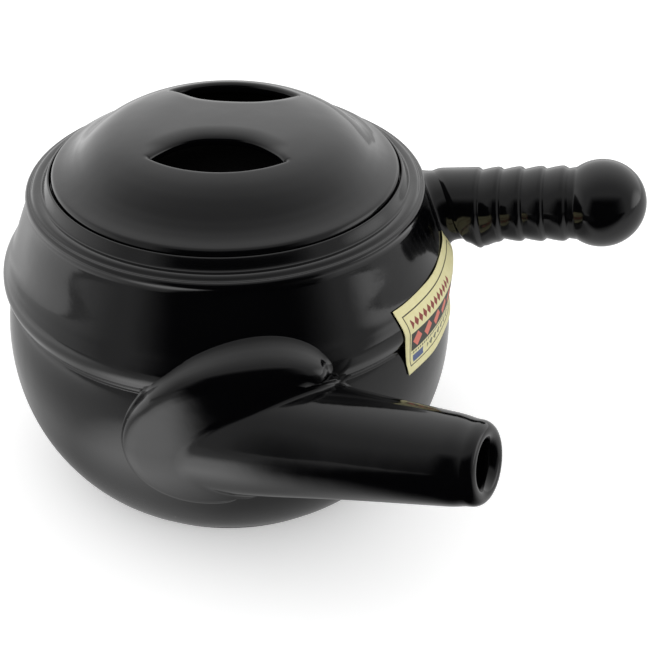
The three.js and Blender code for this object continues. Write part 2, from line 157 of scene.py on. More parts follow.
for more in (pool, even_light):
    paper_light = node(tree, "ShaderNodeMath", plus, i0=paper_light, i1=more)
paper_light = node(tree, "ShaderNodeMath", times, i0=paper_light, i1=painted_pot_shade)
wedge = 1.0
for slope, start, full in wedge_sides:
    across = node(tree, "ShaderNodeVectorMath", {"operation": "DOT_PRODUCT"}, i0=floor_place, i1=slope)
    side = node(tree, "ShaderNodeMapRange", smooth, Value=across.outputs["Value"],
                From_Min=start, From_Max=full)
    wedge = node(tree, "ShaderNodeMath", times, i0=side, i1=wedge)
outside_wedge = node(tree, "ShaderNodeMath", {"operation": "SUBTRACT"}, i0=1.0, i1=wedge)
mirrored_light = node(tree, "ShaderNodeMath", times, i0=paper_light, i1=outside_wedge)
# Painted reflection: the floor glows with this painted light for glossy rays only.
painted_floor_reflection = node(tree, "ShaderNodeEmission", Color=white_light, Strength=mirrored_light)
floor_mix = node(tree, "ShaderNodeMixShader",
                 i0=light_path.outputs["Is Glossy Ray"], i1=lit_floor, i2=painted_floor_reflection)
node(tree, "ShaderNodeOutputMaterial", Surface=floor_mix)
floor_mesh.materials.append(floor_material)

# The tent: white and even on matt surfaces. The glaze mirrors its backdrop, which brightens away from the
# camera, and a lamp at each side. Each row: axis, where the light starts and is full, its least and its most.
tent_rows = [("Y", -0.5, 0.9, 0.42, 1.3), ("X", -0.8, -1.0, 0, 0.3), ("X", 0.9, 1.0, 0, 1.1)]
world = bpy.data.worlds.new("white_tent")
world.use_nodes = True
bpy.context.scene.world = world
tree = world.node_tree
tree.nodes.clear()
tent_place = node(tree, "ShaderNodeTexCoord").outputs["Generated"]
tent_axes = node(tree, "ShaderNodeSeparateXYZ", Vector=tent_place)
tent = 0.0
for axis, start, full, least, most in tent_rows:
    part = node(tree, "ShaderNodeMapRange", smooth, Value=tent_axes.outputs[axis],
                From_Min=start, From_Max=full, To_Min=least, To_Max=most)
    tent = node(tree, "ShaderNodeMath", plus, i0=part, i1=tent)
mirrored_tent = node(tree, "ShaderNodeBackground", Color=white_light, Strength=tent)
even_tent = node(tree, "ShaderNodeBackground", Color=white_light, Strength=1.0)
mirrored = node(tree, "ShaderNodeLightPath").outputs["Is Glossy Ray"]
tent_light = node(tree, "ShaderNodeMixShader", i0=mirrored, i1=even_tent, i2=mirrored_tent)
node(tree, "ShaderNodeOutputWorld", Surface=tent_light)

# The dark opening: a black sheet that only reflections see, painted dark that stands in for the shade on the
# camera's side. It is black in its middle, where it returns no light, and fades slowly to the left, to the
# right and upwards, each over the part of its width or height given in millimetres.
card_place = -600 * mm
card_from, card_to = -640 * mm, 1060 * mm
card_height = 900 * mm
card_fades = [("X", -230, -620), ("X", 380, 1040), ("Y", 420, 880)]


def closed_mesh(name, grids, material):
    """One object from grids of points: each grid is (points[i, j], closed along i, closed along j). Every
    grid cell becomes a face, corners that coincide are merged, and the faces of the closed surface point
    outwards."""
    same_place, no_length = 0.004 * mm, 0.001 * mm
    points, faces, start = [], [], 0
    for grid, close_i, close_j in grids:
        rows, columns = grid.shape[:2]
        number = start + np.arange(rows * columns).reshape(rows, columns)
        if close_i:
            number = np.concatenate([number, number[:1]], axis=0)
        if close_j:
            number = np.concatenate([number, number[:, :1]], axis=1)
        cells = np.stack([number[:-1, :-1], number[:-1, 1:], number[1:, 1:], number[1:, :-1]], axis=-1)
        faces.append(cells.reshape(-1, 4))
        points.append(grid.reshape(-1, 3))
        start += rows * columns
    mesh = bpy.data.meshes.new(name)
    mesh.from_pydata(np.concatenate(points), [], np.concatenate(faces))
    work = bmesh.new()
    work.from_mesh(mesh)
    bmesh.ops.remove_doubles(work, verts=work.verts, dist=same_place)
    bmesh.ops.dissolve_degenerate(work, edges=work.edges, dist=no_length)
    bmesh.ops.recalc_face_normals(work, faces=work.faces)
    work.to_mesh(mesh)
    work.free()
    mesh.polygons.foreach_set("use_smooth", np.ones(len(mesh.polygons), dtype=bool))
    mesh.materials.append(material)
    made = bpy.data.objects.new(name, mesh)
    bpy.context.collection.objects.link(made)
    return made


def add_uv(made, name, pair_at):
    """One UV layer: every face corner gets the pair that a function of its vertex's place gives."""
    places = np.empty(len(made.data.vertices) * 3)
    made.data.vertices.foreach_get("co", places)
    corner = np.empty(len(made.data.loops), dtype=int)
    made.data.loops.foreach_get("vertex_index", corner)
    pairs = pair_at(places.reshape(-1, 3))[corner]
    made.data.uv_layers.new(name=name).data.foreach_set("uv", pairs.ravel())


card_points = np.array([
    [(card_from, card_place, 0), (card_to, card_place, 0)],
    [(card_from, card_place, card_height), (card_to, card_place, card_height)],
])
card_material, tree = new_material("painted_dark_opening")
card = closed_mesh("black_opening", [(card_points, False, False)], card_material)
add_uv(card, "place", lambda place: place[:, [0, 2]] / mm)
card_axes = node(tree, "ShaderNodeSeparateXYZ", Vector=node(tree, "ShaderNodeUVMap", {"uv_map": "place"}))
fade = 0.0
for axis, start, full in card_fades:
    edge = node(tree, "ShaderNodeMapRange", smooth, Value=card_axes.outputs[axis],
                From_Min=start, From_Max=full)
    fade = node(tree, "ShaderNodeMath", {"operation": "MAXIMUM"}, i0=edge, i1=fade)
# Painted dark: the black that the glaze mirrors in place of the shade on the camera's side.
black = node(tree, "ShaderNodeBsdfDiffuse", Color=(0, 0, 0, 1))
clear = node(tree, "ShaderNodeBsdfTransparent")
node(tree, "ShaderNodeOutputMaterial", Surface=node(tree, "ShaderNodeMixShader", i0=fade, i1=black, i2=clear))
card.visible_camera = False
card.visible_diffuse = False
card.visible_shadow = False
card.visible_transmission = False

# Pot: belly, foot and shoulder, jiggered in two halves that are luted at the waist and covered by one
# thick black glaze, which is why the waist is a soft crease and no seam shows.
wall = 5.5 * mm
floor_thickness = 7 * mm
foot_radius = 74 * mm
foot_height = 4.5 * mm
foot_ledge = 0.7 * mm
foot_bevel = 1.2 * mm
foot_hollow = 1 * mm
standing_ring = 9 * mm
hollow_slope = 3 * mm
belly_radius = 100.9 * mm
belly_ring = 40 * mm
belly_step = 1 * mm
seam_height = 91 * mm
belly_height = seam_height - 25 * mm
belly_span = belly_height + 12 * mm
waist_below = 4.5 * mm
waist_slope = 1.8 * mm
crease_depth = 0.5 * mm
crease_lift = 0.3 * mm
hoop_radius = 100.4 * mm
lip_radius = 76.4 * mm
mouth_radius = 66 * mm
mouth_bevel_width = 1.4 * mm
mouth_bevel_height = 1.6 * mm
shell_height = 50.5 * mm
seat_height = seam_height + shell_height
seat_edge_radius = 75.85 * mm
roof_thickness = 7.5 * mm
roof_level = seat_height - roof_thickness
inner_corner_width = 4 * mm
inner_corner_height = 10 * mm
pot_step = 1.6 * mm
pot_sides = 196
belly_levels_count, bowl_levels_count = 64, 40

# The shoulder's outline is in shares of its width and height. The bead, the groove and the lip above it are
# corners, each with its radius and height, and the roundings of an outline follow its inner corners.
shell_shares = np.array([
    [0.95, 0.06], [1, 0.15], [0.975, 0.24], [0.885, 0.32], [0.77, 0.41], [0.61, 0.61], [0.48, 0.77],
    [0.43, 0.84],
])
bead_corners = np.array([
    [86.6, 135.2], [87.1, 137.2], [85.9, 138.6], [84.5, 138.3], [83.2, 140.0], [81.4, 140.1], [79.7, 139.8],
    [76.9, 144.5], [76.1, 144.5],
]) * mm
bead_roundings = np.array([0.9, 1.1, 0.7, 0.8, 0.9, 0.8, 0.8, 0.4, 0.4, 0.3, 0.8, 0.8]) * mm
foot_roundings = np.array([2, 0.8, 0.8, 0.8, 0.9, 0.7]) * mm
waist_roundings = np.array([1.8, 1.4]) * mm
inner_roundings = np.array([9]) * mm
inner_shares = np.array([[0.3, 1.0], [0.56, 0.54], [0.74, 0.34], [0.8, 0.14]])


def rounded_line(corners, roundings, steps=7):
    """A line through corners, each inner corner replaced by the parabola that starts its rounding before the
    corner and ends its rounding after it."""
    corners = np.asarray(corners, float)
    before = corners[:-2] - corners[1:-1]
    after = corners[2:] - corners[1:-1]
    before /= np.linalg.norm(before, axis=1)[:, None]
    after /= np.linalg.norm(after, axis=1)[:, None]
    reach = np.asarray(roundings, float)[:, None]
    middle = corners[1:-1]
    share = np.linspace(0, 1, steps)[None, :, None]
    bent = ((1 - share) ** 2 * (middle + before * reach)[:, None] + 2 * share * (1 - share) * middle[:, None]
            + share ** 2 * (middle + after * reach)[:, None])
    return np.concatenate([corners[:1], bent.reshape(-1, corners.shape[1]), corners[-1:]])


def smooth_line(points, steps=8):
    """A Catmull-Rom line: between two points it is the cubic that has the slope of their neighbours, written
    with a and d for the neighbours, b and c for the two points and t for the share of the way."""
    points = np.asarray(points, float)
    full = np.concatenate([2 * points[:1] - points[1:2], points, 2 * points[-1:] - points[-2:-1]])
    a, b, c, d = full[:-3, None], full[1:-2, None], full[2:-1, None], full[3:, None]
    t = np.linspace(0, 1, steps, endpoint=False)[None, :, None]
    line = 0.5 * (
        2 * b + (c - a) * t + (2 * a - 5 * b + 4 * c - d) * t ** 2 + (3 * b - a - 3 * c + d) * t ** 3)
    return np.concatenate([line.reshape(-1, points.shape[1]), points[-1:]])


def dense(line, spacing):
    """The same line, its own points kept and its long steps divided: a point is put in at each spacing along
    it, unless one of its own lies within 0.3 of a spacing."""
    step = np.linalg.norm(np.diff(line, axis=0), axis=1)
    reach = np.concatenate([[0], np.cumsum(step)])
    more = np.arange(0, reach[-1], spacing)
    gap = np.abs(more[:, None] - reach[None]).min(axis=1)
    places = np.sort(np.concatenate([reach, more[gap > 0.3 * spacing]]))
    return np.stack([np.interp(places, reach, line[:, k]) for k in range(line.shape[1])], axis=1)


def turned(profile, sides):
    """A surface of revolution about Z: each [radius, height] of the profile goes round in a circle."""
    angle = 2 * math.pi * np.arange(sides) / sides
    radius, height = profile[:, 0, None], profile[:, 1, None]
    return np.stack([radius * np.cos(angle), radius * np.sin(angle), height + 0 * angle], axis=-1)


def belly_at(height, inset):
    """An ellipse turned on a ring: radius = ring + rest of the radius times the root of
    1 - (lift / span) squared, where the inset comes off both the rest and the span."""
    lift = (height - belly_height) / (belly_span - inset)
    return belly_ring + (belly_radius - belly_ring - inset) * np.sqrt(1 - lift ** 2)


belly_start = foot_height + foot_ledge
belly_levels = np.linspace(belly_start + belly_step, seam_height - waist_below, belly_levels_count)
belly_line = np.stack([belly_at(belly_levels, 0), belly_levels], axis=1)
ring_inside = foot_radius - standing_ring
foot_line = rounded_line([
    (0, foot_hollow), (ring_inside - hollow_slope, foot_hollow), (ring_inside, 0),
    (foot_radius - foot_bevel, 0), (foot_radius, foot_bevel), (foot_radius, foot_height),
    (belly_at(belly_start, 0) - belly_step, belly_start), belly_line[0],
], foot_roundings)
out_and_up = np.array([hoop_radius - lip_radius, shell_height])
shell_line = smooth_line(np.array([lip_radius, seam_height]) + shell_shares * out_and_up)
crease = (belly_at(seam_height, 0) - crease_depth, seam_height + crease_lift)
waist_start = (belly_at(seam_height - waist_slope, 0), seam_height - waist_slope)
waist_line = rounded_line([belly_line[-1], waist_start, crease, shell_line[0]], waist_roundings)
bead_line = rounded_line([
    shell_line[-1], *bead_corners, (seat_edge_radius, seat_height),
    (mouth_radius + mouth_bevel_width, seat_height), (mouth_radius, seat_height - mouth_bevel_height),
    (mouth_radius, roof_level),
], bead_roundings)
roof_size = np.array([out_and_up[0], roof_level - seam_height])
inner_shell = smooth_line(np.array([lip_radius, seam_height]) + inner_shares * roof_size)
inner_levels = np.linspace(seam_height, floor_thickness + inner_corner_height, bowl_levels_count)
inner_bowl = np.stack([belly_at(inner_levels, wall), inner_levels], axis=1)
inner_floor = rounded_line([
    inner_bowl[-1], (inner_bowl[-1, 0] - inner_corner_width, floor_thickness), (0, floor_thickness),
], inner_roundings)
outer_line = np.concatenate([belly_line, waist_line[1:], shell_line[1:]])
pot_profile = dense(np.concatenate([
    foot_line, outer_line[1:], bead_line[1:], inner_shell, inner_bowl, inner_floor[1:],
]), pot_step)


def add_glaze(name, colour, roughness, wave_depth, index):
    """Thick black glaze over red clay, dipped and fired glossy: nearly black in itself, mirrors its
    surroundings softly, with a faint orange peel, slow waves where it ran, and rare pale pinholes, which are
    dots on two in five of the points of an uneven grid."""
    run_size, peel_size, grain_size, pinhole_gap = 26 * mm, 3.5 * mm, 0.7 * mm, 17 * mm
    peel_depth = 0.06 * wave_depth
    dot_edge, dot_core, bare_share = 0.022, 0.012, 0.6
    smoother, rougher = 0.8, 1.25
    grain_low, grain_high = 0.3, 0.7
    material, tree = new_material(name)
    place = node(tree, "ShaderNodeTexCoord").outputs["Object"]
    runs = node(tree, "ShaderNodeTexNoise", Vector=place, Scale=1 / run_size, Detail=2, Roughness=0.4)
    peel = node(tree, "ShaderNodeTexNoise", Vector=place, Scale=1 / peel_size, Detail=2, Roughness=0.5)
    grain = node(tree, "ShaderNodeTexNoise", Vector=place, Scale=1 / grain_size, Detail=1)
    wave = node(tree, "ShaderNodeBump", Strength=1, Distance=wave_depth, Height=runs)
    fine = node(tree, "ShaderNodeBump", Strength=1, Distance=peel_depth, Height=peel, Normal=wave)
    pits = node(tree, "ShaderNodeTexVoronoi", {"feature": "F1"}, Vector=place, Scale=1 / pinhole_gap)
    pit = node(tree, "ShaderNodeMapRange", Value=pits.outputs["Distance"],
               From_Min=dot_edge, From_Max=dot_core)
    rare = node(tree, "ShaderNodeSeparateColor", Color=pits.outputs["Color"])
    kept = node(tree, "ShaderNodeMath", {"operation": "GREATER_THAN"}, i0=rare, i1=bare_share)
    speck = node(tree, "ShaderNodeMath", times, i0=pit, i1=kept)
    tone = node(tree, "ShaderNodeMix", {"data_type": "RGBA"}, Factor=speck,
                i6=linear(colour), i7=linear("#8d8a84"))
    sheen = node(tree, "ShaderNodeMapRange", Value=grain, From_Min=grain_low, From_Max=grain_high,
                 To_Min=roughness * smoother, To_Max=roughness * rougher)
    shader = node(tree, "ShaderNodeBsdfPrincipled", Base_Color=tone.outputs[2], Roughness=sheen,
                  IOR=index, Normal=fine)
    node(tree, "ShaderNodeOutputMaterial", Surface=shader)
    return material


black_glaze = add_glaze("black_glaze_dipped", "#040405", roughness=0.1, wave_depth=0.3 * mm, index=1.5)
pot = closed_mesh("glazed_pot", [(turned(pot_profile, pot_sides), False, True)], black_glaze)
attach(pot, "pot")
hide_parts("lower_bowl", "shoulder_shell")

# Spout and its collar: a cast tube and a pad of soft clay pressed round its root. The slip and the glaze
# join them, so they are one skin that flares from the tube into the pad and drops to the wall at its edge.
spout_root_azimuth = -76.8 * degree
spout_root_reach = 92 * mm
spout_root_height = seam_height - 22.7 * mm
spout_azimuth = -27.2 * degree
spout_rise = 11.9 * degree
spout_length = 97.4 * mm
spout_root_radius = 25.4 * mm
spout_tip_radius = 16.9 * mm
root_bulge = 3.4 * mm
root_bulge_run = 30 * mm
root_bulge_back = 6 * mm
root_bulge_turn = 30 * degree
spout_lip = 5 * mm
tip_groove = 0.6 * mm
tip_groove_gap = 1 * mm
tip_groove_run = 4.5 * mm
bore_tip_radius = 8.6 * mm
bore_root_radius = 20 * mm
bore_taper_share = 0.86
bore_sink = 1 * mm
collar_azimuth = -86.5 * degree
collar_height = seam_height - 15 * mm
collar_half_width = 44.5 * mm
collar_half_height = 38.5 * mm
collar_lean = 12 * mm
collar_full_share = 0.75
collar_thickness = 4.2 * mm
collar_lean_out = 2.6 * mm
collar_lean_height = 45 * mm
collar_edge = 4.4 * mm
edge_widening_share = 1.0
edge_sink = 0.12 * mm
edge_fade = 7 * mm
crease_reach = 3 * mm
crease_reach_share = 0.7
crease_run = 4 * mm
spout_sides = 256
pad_steps, crease_steps, tube_steps, lip_steps, bore_steps = 14, 14, 56, 18, 40

# The edge's section, from the wall up to the pad's face: the distance out in shares of the edge's width and
# the height in shares of the pad's thickness.
edge_shares = [
    (0.55, -0.05), (0.3, 0.02), (0.14, 0.12), (0.02, 0.3), (-0.1, 0.5), (-0.28, 0.72), (-0.52, 0.88),
    (-0.85, 0.98), (-1.25, 1.0),
]


def limb(root_azimuth, root_reach, root_height, azimuth, rise):
    """A limb's frame: its origin on the axis and the unit vectors along, across and above the axis."""
    origin = np.array([root_reach * math.cos(root_azimuth), root_reach * math.sin(root_azimuth), root_height])
    along = np.array([
        math.cos(azimuth) * math.cos(rise), math.sin(azimuth) * math.cos(rise), math.sin(rise)])
    across = np.array([-math.sin(azimuth), math.cos(azimuth), 0])
    return origin, along, across, np.cross(along, across)


def limb_point(limb_frame, place, radius, angle):
    """A point at a place along the axis and a radius from it, at an angle from across towards above."""
    origin, along, across, above = limb_frame
    place, radius, angle = (value[..., None] for value in np.broadcast_arrays(place, radius, angle))
    return origin + place * along + radius * (np.cos(angle) * across + np.sin(angle) * above)


def wall_radius(height):
    """The pot's outer radius at a height, with the crease at the waist, read off its outline."""
    radius, level = outer_line.T
    return np.interp(height, level, radius)


def pad_radius(height):
    """The pad's face: as thick as the clay over the lower belly. Above the widest place it goes straight up,
    leaning out by the lean times the share of its height to the power 1.4, while the wall draws back."""
    low = np.minimum(height, belly_height)
    up = np.clip((height - belly_height) / collar_lean_height, 0, 1)
    return belly_at(low, 0) + collar_thickness + collar_lean_out * up ** 1.4


def on_wall(azimuth, side, height, share=0.0, lift=0.0, radius_at=wall_radius):
    """A point on the pot: side is the way round from the azimuth on the belly's circle, share 0 lies on the
    wall and share 1 on the pad's face, lift is the distance outwards from there."""
    angle = azimuth + side / belly_radius
    radius = radius_at(height) + (pad_radius(height) - radius_at(height)) * share + lift
    return np.stack([radius * np.cos(angle), radius * np.sin(angle), height + 0 * angle], axis=-1)


def side_and_height(point, azimuth):
    """The way round from an azimuth and the height of a point."""
    angle = (np.arctan2(point[..., 1], point[..., 0]) - azimuth + math.pi) % (2 * math.pi) - math.pi
    return angle * belly_radius, point[..., 2]


def foot_place(limb_frame, radius_at, angle, azimuth, share_at, lift=0.0):
    """Where each line of a limb meets the pot: the span in which it lies is halved 30 times, each time to the
    half at whose inner end the point is inside the pad or the wall and at whose outer end it is outside."""
    search_from, search_to, halvings = -45 * mm, 75 * mm, 30
    low, high = np.full(angle.shape, search_from), np.full(angle.shape, search_to)
    for _ in range(halvings):
        middle = (low + high) / 2
        point = limb_point(limb_frame, middle, radius_at(middle, angle), angle)
        side, height = side_and_height(point, azimuth)
        foot = on_wall(azimuth, side, height, share_at(side, height), lift)
        outside = np.hypot(point[..., 0], point[..., 1]) > np.hypot(foot[..., 0], foot[..., 1])
        high = np.where(outside, middle, high)
        low = np.where(outside, low, middle)
    return high


def spout_radius(place, angle):
    """The tube narrows evenly from its root to its tip. A bulge on its upper side, where the pad was pressed
    on, falls as exp(-(place / run) squared) and is highest at 120 degrees. A shallow groove of the same form
    runs round it before the lip."""
    bulge_share = np.exp(-((place + root_bulge_back) / root_bulge_run) ** 2)
    bulge = root_bulge * bulge_share * (1 + np.sin(angle - root_bulge_turn)) / 2
    groove = tip_groove * np.exp(-((place - spout_length + spout_lip + tip_groove_gap) / tip_groove_run) ** 2)
    return spout_root_radius + (spout_tip_radius - spout_root_radius) * place / spout_length + bulge - groove


def bore_radius(place, angle):
    """The bore narrows evenly and is straight in its last seventh."""
    share = np.clip(place / (bore_taper_share * spout_length), 0, 1)
    return bore_root_radius + (bore_tip_radius - bore_root_radius) * share + 0 * angle


def collar_share(side, height):
    """The pad is full thick to three quarters of the way out on its leaning oval, then falls as a quarter
    ellipse."""
    up = (height - collar_height) / collar_half_height
    out = np.hypot((side - collar_lean * up) / collar_half_width, up)
    return np.sqrt(1 - np.clip((out - collar_full_share) / (1 - collar_full_share), 0, 1) ** 2)


def oval_reach(side, height, towards):
    """The distance from a place to the oval's edge in a direction: where the oval is made a circle of radius
    1, it is the larger root of square * distance squared + 2 * cross * distance + start squared - 1 = 0."""
    def unit(right, up):
        return np.stack([(right - collar_lean * up / collar_half_height) / collar_half_width,
                         up / collar_half_height])
    start = unit(side, height - collar_height)
    step = unit(np.cos(towards), np.sin(towards))
    square = (step ** 2).sum(axis=0)
    cross = (step * start[:, None]).sum(axis=0)
    return (-cross + np.sqrt(cross ** 2 - square * ((start ** 2).sum() - 1))) / square


def flare(limb_frame, radius_at, azimuth, share_at, edge_reach, reach, run, edge_run, steps):
    """The skin from the wall's edge line to the limb: up the edge, over the pad, and by a parabola whose
    corner is the crease onto the limb. The parabola starts at the reach from the crease and ends at the run
    along the limb. The edge is as wide as its own run and up to twice that at the top. Gives the points, row
    by row from the wall, each line's place on the limb, and its angle round it."""
    angle = 2 * math.pi * np.arange(spout_sides) / spout_sides
    place = foot_place(limb_frame, radius_at, angle, azimuth, share_at)
    corner = limb_point(limb_frame, place, radius_at(place, angle), angle)
    foot_side, foot_level = side_and_height(corner, azimuth)
    middle = foot_side.mean(), foot_level.mean()
    towards = np.arctan2(foot_level - middle[1], foot_side - middle[0])
    foot_reach = np.hypot(foot_side - middle[0], foot_level - middle[1])
    foot_share = share_at(foot_side, foot_level)
    edge = np.maximum(edge_reach(*middle, towards), foot_reach + reach)
    wide = np.clip((edge - foot_reach - reach) / edge_fade, 0, 1)
    full = wide ** 2 * (3 - 2 * wide) * (foot_share > 0)

    def at(out, share, lift=0.0):
        side, level = middle[0] + out * np.cos(towards), middle[1] + out * np.sin(towards)
        return on_wall(azimuth, side, level, share, lift)

    edge_width = edge_run * (1 + edge_widening_share * np.clip(np.sin(towards), 0, 1) ** 2)
    rows = [at(edge + out * edge_width, up * full, -edge_sink) for out, up in edge_shares]
    inner = foot_reach + np.minimum(reach, crease_reach_share * (edge - foot_reach))
    outer = np.maximum(edge + edge_shares[-1][0] * edge_width, inner)
    for step in range(1, steps + 1):
        share = step / steps
        rows.append(at(outer + (inner - outer) * share, full + (foot_share - full) * share))
    end = limb_point(limb_frame, place + run, radius_at(place + run, angle), angle)
    begin = rows[-1]
    for step in range(1, crease_steps + 1):
        share = step / crease_steps
        rows.append((1 - share) ** 2 * begin + 2 * share * (1 - share) * corner + share ** 2 * end)
    return rows, place + run, angle


spout_frame = limb(spout_root_azimuth, spout_root_reach, spout_root_height, spout_azimuth, spout_rise)
spout_rows, tube_start, spout_angles = flare(
    spout_frame, spout_radius, collar_azimuth, collar_share, oval_reach, crease_reach, crease_run,
    collar_edge, pad_steps)
lip_start = spout_length - spout_lip
for share in np.linspace(0, 1, tube_steps + 1)[1:]:
    place = tube_start + (lip_start - tube_start) * share
    spout_rows.append(limb_point(spout_frame, place, spout_radius(place, spout_angles), spout_angles))
lip_outer = spout_radius(lip_start, spout_angles)
lip_middle = (lip_outer + bore_tip_radius) / 2
lip_half = (lip_outer - bore_tip_radius) / 2
for share in np.linspace(0, 1, lip_steps + 1)[1:]:
    place = lip_start + spout_lip * math.sin(math.pi * share)
    radius = lip_middle + lip_half * math.cos(math.pi * share)
    spout_rows.append(limb_point(spout_frame, place, radius, spout_angles))
bore_end = foot_place(
    spout_frame, bore_radius, spout_angles, collar_azimuth, lambda side, height: 0 * side, -bore_sink)
for share in np.linspace(0, 1, bore_steps + 1)[1:]:
    place = lip_start + (bore_end - lip_start) * share
    spout_rows.append(limb_point(spout_frame, place, bore_radius(place, spout_angles), spout_angles))
spout = closed_mesh("glazed_spout", [(np.stack(spout_rows), True, True)], black_glaze)
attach(spout, "pot")
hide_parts("spout", "spout_collar")

# The hole in the wall behind the spout: it is cut with a round cutter along the spout's axis while the clay
# is leather hard, before the strainer and the spout are luted on.
hole_radius = 14 * mm
hole_ends = np.array([-34, 40]) * mm
hole_sides = 64

hole_angles = 2 * math.pi * np.arange(hole_sides) / hole_sides
hole_rows = [
    limb_point(spout_frame, hole_ends[k], radius, hole_angles)
    for k, radius in ((0, 0), (0, hole_radius), (1, hole_radius), (1, 0))]
cutter = closed_mesh("hole_cutter", [(np.stack(hole_rows), False, True)], black_glaze)
cut = pot.modifiers.new("hole", "BOOLEAN")
cut.operation = "DIFFERENCE"
cut.solver = "EXACT"
cut.object = cutter
bpy.context.view_layer.objects.active = pot
bpy.ops.object.modifier_apply(modifier=cut.name)
bpy.data.objects.remove(cutter)

# Strainer: a pierced dome of clay, pressed from a slab and luted behind the hole. It is left bare, so it is
# matt, sandy to the touch and clouded between two browns by the fire.
sand_size = 0.8 * mm
sand_depth = 0.08 * mm
cloud_size = 12 * mm
clay_roughness = 0.85

strainer_clay, tree = new_material("bare_clay_strainer")
place = node(tree, "ShaderNodeTexCoord").outputs["Object"]
sand = node(tree, "ShaderNodeTexNoise", Vector=place, Scale=1 / sand_size, Detail=3)
cloud = node(tree, "ShaderNodeTexNoise", Vector=place, Scale=1 / cloud_size, Detail=2)
clay_tone = node(tree, "ShaderNodeMix", {"data_type": "RGBA"}, Factor=cloud,
                 i6=linear("#4c3d33"), i7=linear("#6b5747"))
clay_grain = node(tree, "ShaderNodeBump", Strength=1, Distance=sand_depth, Height=sand)
clay = node(tree, "ShaderNodeBsdfPrincipled", Base_Color=clay_tone.outputs[2], Roughness=clay_roughness,
            Normal=clay_grain)
node(tree, "ShaderNodeOutputMaterial", Surface=clay)
strainer_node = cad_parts["strainer"]
strainer_node.data.materials.clear()
strainer_node.data.materials.append(strainer_clay)

# Neck of the handle: a collar of soft clay that lutes the grip to the wall. It is smoothed into the wall
# with a wet finger, which leaves a wide fillet, and dipped in the same black glaze.
handle_root_azimuth = 12 * degree
handle_root_reach = 95 * mm
handle_root_height = seam_height + 24 * mm
handle_azimuth = -14 * degree
handle_rise = 8.9 * degree
neck_length = 6.5 * mm
neck_radius = 15.7 * mm
neck_fillet = 7 * mm
neck_edge = 1 * mm
neck_overlap = 14 * mm
neck_steps = 3

handle_frame = limb(handle_root_azimuth, handle_root_reach, handle_root_height, handle_azimuth, handle_rise)
neck_rows, neck_start, neck_angles = flare(
    handle_frame, lambda place, angle: neck_radius + 0 * place, handle_root_azimuth,
    lambda side, height: 0 * side, lambda side, height, towards: 0 * towards,
    neck_fillet, neck_fillet, neck_edge, neck_steps)
for share in (0.5, 1):
    neck_rows.append(limb_point(handle_frame, neck_start + neck_overlap * share, neck_radius, neck_angles))
neck_rows.append(limb_point(handle_frame, neck_start + neck_overlap, 0, neck_angles))
inside = limb_point(handle_frame, neck_start.mean() - neck_overlap, 0, neck_angles)
neck = closed_mesh("glazed_neck", [(np.stack([inside, *neck_rows]), False, True)], black_glaze)
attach(neck, "pot")
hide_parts("handle_neck")

# Grip: cast hollow from slip, with a swelling under it for the first finger, ribs that rise slowly and drop
# sharply, and a ball at its end. It is luted to the neck, and the same black glaze covers it.
grip_radius = 16.9 * mm
grip_sides = 192
grip_start = 13.2 * mm
grip_bevel = 1.5 * mm
grip_gap = 0.3 * mm
grip_step = 0.7 * mm
first_rib = 22.3 * mm
first_rib_lead = 1.2 * mm
rib_count = 5
rib_depth = 1.3 * mm
rib_pitch = 9.6 * mm
ball_radius = 19.4 * mm
ball_place = 75.8 * mm
ball_lead = 0.8 * mm
ball_opening_share = 0.9
ball_steps = 60
bump_height = 4.2 * mm
bump_length = 5 * mm
end_reach = 20 * mm

# One rib: the way along in shares of the pitch and the drop in shares of the depth, with its roundings.
rib_shares = [(0.04, 1.0), (0.22, 0.7), (0.42, 0.38), (0.62, 0.14), (0.8, 0.0), (0.92, 0.2)]
rib_roundings = [0.5, 0.8, 0.8, 0.8, 0.5, 0.5]
end_roundings = [0.5, 0.7, 0.8]

rib_line = [
    (first_rib + (rib + share) * rib_pitch, grip_radius - drop * rib_depth)
    for rib in range(rib_count - 1) for share, drop in rib_shares]
ball_start = first_rib + (rib_count - 1) * rib_pitch + ball_lead
grip_corners = [
    (grip_start, 0), (grip_start, grip_radius - grip_bevel), (grip_start + grip_bevel, grip_radius),
    (first_rib - first_rib_lead, grip_radius), *rib_line, (ball_start, grip_radius - rib_depth)]
grip_line = rounded_line(grip_corners, np.array(end_roundings + rib_roundings * (rib_count - 1)) * mm)
ball_open = math.acos((ball_start - ball_place) / ball_radius) * ball_opening_share
ball_angles = np.linspace(ball_open, 0, ball_steps)
ball_round = np.stack([np.cos(ball_angles), np.sin(ball_angles)], axis=1)
ball_line = np.array([ball_place, 0]) + ball_radius * ball_round
grip_profile = dense(np.concatenate([grip_line, ball_line]), grip_step)
grip_angles = 2 * math.pi * np.arange(grip_sides) / grip_sides
along, radius = grip_profile[:, 0, None], grip_profile[:, 1, None]

# The swelling falls as exp(-(distance along / length) squared) and as the third power of the share below.
# Near the wall the grip's end is cut aslant, so that it follows the wall at one gap.
below = np.clip(-np.sin(grip_angles), 0, 1) ** 3 * (radius > grip_radius / 2)
bump = bump_height * np.exp(-((along - first_rib) / bump_length) ** 2) * below
end_place = foot_place(
    handle_frame, lambda place, angle: grip_radius + 0 * place, grip_angles, handle_root_azimuth,
    lambda side, height: 0 * side, neck_length + grip_gap)
end_shift = (end_place - end_place.mean()) * radius / grip_radius + end_place.mean() - grip_start
near_end = np.clip((end_reach - along) / (end_reach - grip_start), 0, 1)
grip_points = limb_point(handle_frame, along + end_shift * near_end, radius + bump, grip_angles)
grip = closed_mesh("glazed_grip", [(grip_points, False, True)], black_glaze)
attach(grip, "pot")
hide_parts("handle")

